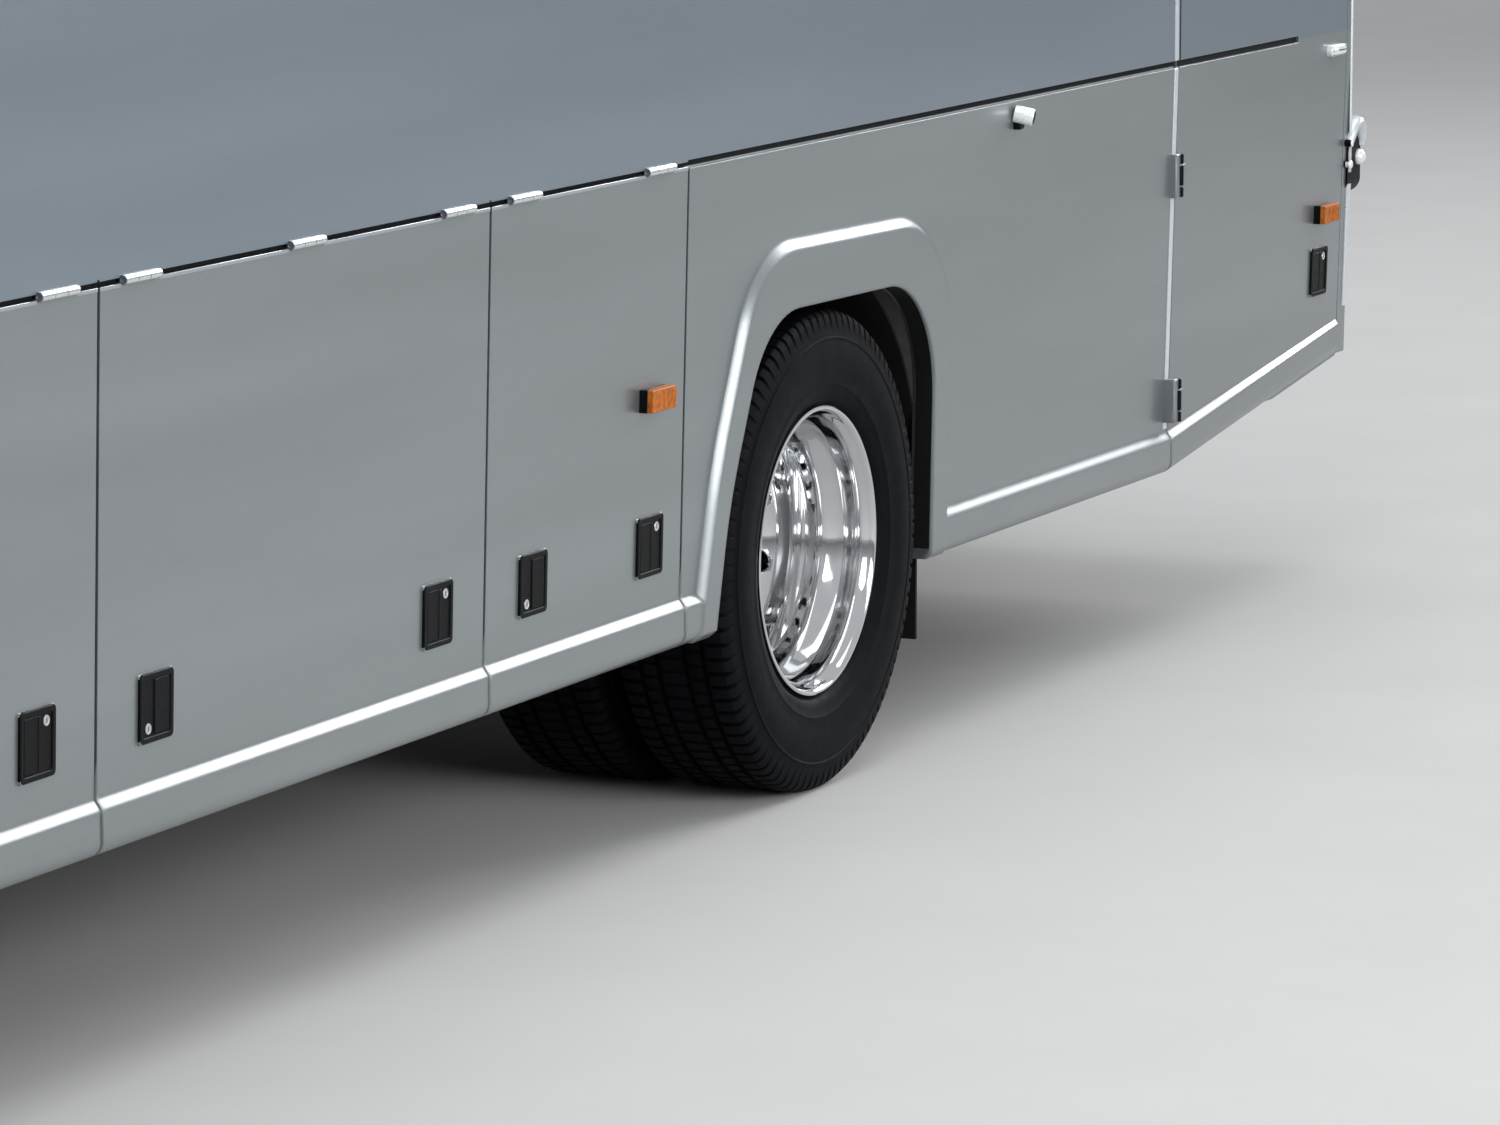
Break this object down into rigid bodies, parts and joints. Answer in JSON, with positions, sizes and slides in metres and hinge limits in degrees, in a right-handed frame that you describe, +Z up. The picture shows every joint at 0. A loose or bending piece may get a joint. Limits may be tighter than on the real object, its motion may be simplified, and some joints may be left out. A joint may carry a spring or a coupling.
{
  "type": "touring coach",
  "caption": "High-deck touring coach with underfloor luggage bays behind top-hinged doors, twin rear wheels, steered front wheels and a rear engine.",
  "frame": {"origin": "on the ground, below the middle of the overall box", "axes": "+X forward, +Y to the left, +Z up"},
  "size_m": [12.3319, 2.59, 3.69],
  "materials": {
    "body_paint": "metallic gloss",
    "door_paint": "metallic gloss",
    "dark_plastic": "moulded",
    "black_steel": "satin",
    "tinted_glass": "tinted",
    "lamp": "clear",
    "chrome": "polished",
    "polished": "polished",
    "tyre": "dusty",
    "seat_cloth": "plush",
    "cast": "oily",
    "deck": "coated",
    "liner": "moulded"
  },
  "bodies": {
    "body": {"arch_liners": "liner", "arch_panels_left": "body_paint", "arch_panels_right": "body_paint", "chassis": "black_steel", "dashboard": "dark_plastic", "decks": "deck", "engine": "cast", "entry_door": "body_paint", "front_axle": "cast", "front_bumper": "body_paint", "front_mask": "body_paint", "glazing": "tinted_glass", "headlamps": "lamp", "mirrors": "dark_plastic", "mudflaps": "liner", "rear_axle": "cast", "rear_bumper": "dark_plastic", "rear_panel": "body_paint", "roof": "body_paint", "roof_unit": "body_paint", "seats": "seat_cloth", "side_cameras": "dark_plastic", "side_wall_left": "body_paint", "side_wall_right": "body_paint", "tail_lamps": "chrome", "wipers": "dark_plastic"},
    "knuckle_left": {"knuckle_left": "cast"},
    "front_wheel_left": {"front_wheel_left": "polished", "front_tyre_left": "tyre"},
    "rear_wheel_left": {"rear_wheel_left": "polished", "rear_tyres_left": "tyre"},
    "luggage_door_left_1": {"luggage_door_left_1": "door_paint"},
    "luggage_door_left_2": {"luggage_door_left_2": "door_paint"},
    "luggage_door_left_3": {"luggage_door_left_3": "door_paint"},
    "service_door_left": {"service_door_left": "body_paint"},
    "knuckle_right": {"knuckle_right": "cast"},
    "front_wheel_right": {"front_wheel_right": "polished", "front_tyre_right": "tyre"},
    "rear_wheel_right": {"rear_wheel_right": "polished", "rear_tyres_right": "tyre"},
    "luggage_door_right_1": {"luggage_door_right_1": "door_paint"},
    "luggage_door_right_2": {"luggage_door_right_2": "door_paint"},
    "luggage_door_right_3": {"luggage_door_right_3": "door_paint"},
    "service_door_right": {"service_door_right": "body_paint"},
    "engine_lid": {"engine_lid": "body_paint"}
  },
  "joints": [
    {"name": "steer_left", "type": "hinge", "parent": "body", "child": "knuckle_left", "pos_m": [3.266, 0.93, 0.497], "axis": [0, 0, 1], "range_deg": [-40, 40]},
    {"name": "spin_front_left", "type": "hinge", "parent": "knuckle_left", "child": "front_wheel_left", "pos_m": [3.266, 1.072, 0.497], "axis": [0, 1, 0], "continuous": true},
    {"name": "spin_rear_left", "type": "hinge", "parent": "body", "child": "rear_wheel_left", "pos_m": [-2.867, 1.097, 0.497], "axis": [0, 1, 0], "continuous": true},
    {"name": "lift_left_1", "type": "hinge", "parent": "body", "child": "luggage_door_left_1", "pos_m": [0.813, 1.242, 1.352], "axis": [1, 0, 0], "range_deg": [0, 95]},
    {"name": "lift_left_2", "type": "hinge", "parent": "body", "child": "luggage_door_left_2", "pos_m": [-0.6125, 1.242, 1.352], "axis": [1, 0, 0], "range_deg": [0, 95]},
    {"name": "lift_left_3", "type": "hinge", "parent": "body", "child": "luggage_door_left_3", "pos_m": [-1.7535, 1.242, 1.352], "axis": [1, 0, 0], "range_deg": [0, 95]},
    {"name": "swing_service_left", "type": "hinge", "parent": "body", "child": "service_door_left", "pos_m": [-4.858, 1.244, 0.9], "axis": [0, 0, -1], "range_deg": [0, 100]},
    {"name": "steer_right", "type": "hinge", "parent": "body", "child": "knuckle_right", "pos_m": [3.266, -0.93, 0.497], "axis": [0, 0, 1], "range_deg": [-40, 40]},
    {"name": "spin_front_right", "type": "hinge", "parent": "knuckle_right", "child": "front_wheel_right", "pos_m": [3.266, -1.072, 0.497], "axis": [0, 1, 0], "continuous": true},
    {"name": "spin_rear_right", "type": "hinge", "parent": "body", "child": "rear_wheel_right", "pos_m": [-2.867, -1.097, 0.497], "axis": [0, 1, 0], "continuous": true},
    {"name": "lift_right_1", "type": "hinge", "parent": "body", "child": "luggage_door_right_1", "pos_m": [0.813, -1.242, 1.352], "axis": [-1, 0, 0], "range_deg": [0, 95]},
    {"name": "lift_right_2", "type": "hinge", "parent": "body", "child": "luggage_door_right_2", "pos_m": [-0.6125, -1.242, 1.352], "axis": [-1, 0, 0], "range_deg": [0, 95]},
    {"name": "lift_right_3", "type": "hinge", "parent": "body", "child": "luggage_door_right_3", "pos_m": [-1.7535, -1.242, 1.352], "axis": [-1, 0, 0], "range_deg": [0, 95]},
    {"name": "swing_service_right", "type": "hinge", "parent": "body", "child": "service_door_right", "pos_m": [-4.858, -1.244, 0.9], "axis": [0, 0, 1], "range_deg": [0, 100]},
    {"name": "lift_engine_lid", "type": "hinge", "parent": "body", "child": "engine_lid", "pos_m": [-6.14, 0, 1.884], "axis": [0, 1, 0], "range_deg": [0, 80]}
  ],
  "couplings": [
    {"joint": "steer_right", "follows": "steer_left", "ratio": 1}
  ]
}
